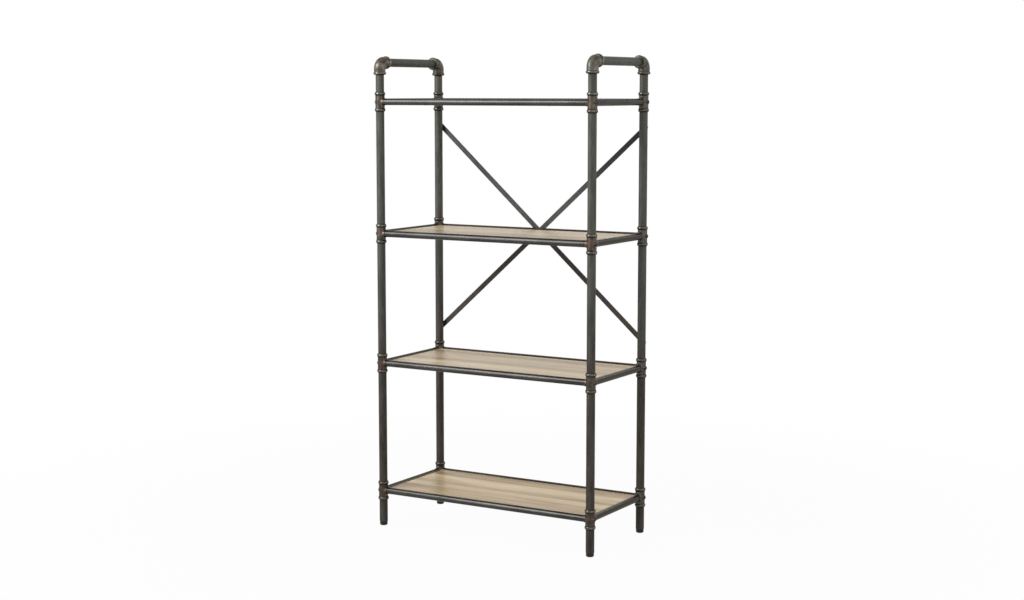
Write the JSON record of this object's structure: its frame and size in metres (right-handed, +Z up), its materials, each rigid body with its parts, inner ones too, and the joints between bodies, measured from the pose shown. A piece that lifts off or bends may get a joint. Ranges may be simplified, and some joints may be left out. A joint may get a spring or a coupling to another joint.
{
  "type": "etagere",
  "caption": "Free-standing open bookcase in pipe style, with wood shelves in tube frames, cast pipe fittings, handle loops and a crossed rear brace.",
  "frame": {"origin": "on the floor under the middle of the frame", "axes": "+Z up, +X to the right seen from the front, +Y to the back, where the brace is"},
  "size_m": [0.8084, 0.3814, 1.5242],
  "materials": {
    "post_finish": "satin gunmetal lacquer over steel pipe",
    "rail_finish": "smooth semi-gloss gunmetal over steel tube",
    "fitting_finish": "cast surface with rubbed brown patina and bright bead crests",
    "brace_finish": "satin dark grey flat bar",
    "bolt_finish": "dark bronzed",
    "plain_steel": "zinc plated",
    "oak_panel": "matt limed oak planks with brown streaks",
    "glide_plastic": "moulded black"
  },
  "bodies": {
    "root": {"post_front_left": "post_finish", "elbow_front_left": "fitting_finish", "glide_front_left": "glide_plastic", "tee_front_left_1": "fitting_finish", "tee_front_left_2": "fitting_finish", "tee_front_left_3": "fitting_finish", "tee_front_left_4": "fitting_finish", "post_front_right": "post_finish", "elbow_front_right": "fitting_finish", "glide_front_right": "glide_plastic", "tee_front_right_1": "fitting_finish", "tee_front_right_2": "fitting_finish", "tee_front_right_3": "fitting_finish", "tee_front_right_4": "fitting_finish", "post_back_left": "post_finish", "elbow_back_left": "fitting_finish", "glide_back_left": "glide_plastic", "tee_back_left_1": "fitting_finish", "tee_back_left_2": "fitting_finish", "tee_back_left_3": "fitting_finish", "tee_back_left_4": "fitting_finish", "post_back_right": "post_finish", "elbow_back_right": "fitting_finish", "glide_back_right": "glide_plastic", "tee_back_right_1": "fitting_finish", "tee_back_right_2": "fitting_finish", "tee_back_right_3": "fitting_finish", "tee_back_right_4": "fitting_finish", "handle_pipe_left": "post_finish", "handle_pipe_right": "post_finish", "front_rail_1": "rail_finish", "back_rail_1": "rail_finish", "left_end_rail_1": "rail_finish", "right_end_rail_1": "rail_finish", "shelf_panel_1": "oak_panel", "front_rail_2": "rail_finish", "back_rail_2": "rail_finish", "left_end_rail_2": "rail_finish", "right_end_rail_2": "rail_finish", "shelf_panel_2": "oak_panel", "front_rail_3": "rail_finish", "back_rail_3": "rail_finish", "left_end_rail_3": "rail_finish", "right_end_rail_3": "rail_finish", "shelf_panel_3": "oak_panel", "front_rail_4": "rail_finish", "back_rail_4": "rail_finish", "left_end_rail_4": "rail_finish", "right_end_rail_4": "rail_finish", "shelf_panel_4": "oak_panel", "brace_bar_rear": "brace_finish", "brace_bar_front": "brace_finish", "brace_bolts": "bolt_finish", "brace_rivet_nuts": "plain_steel", "rail_bolts": "bolt_finish", "rail_plugs": "plain_steel", "panel_tabs": "rail_finish", "panel_screws": "plain_steel"}
  },
  "joints": []
}
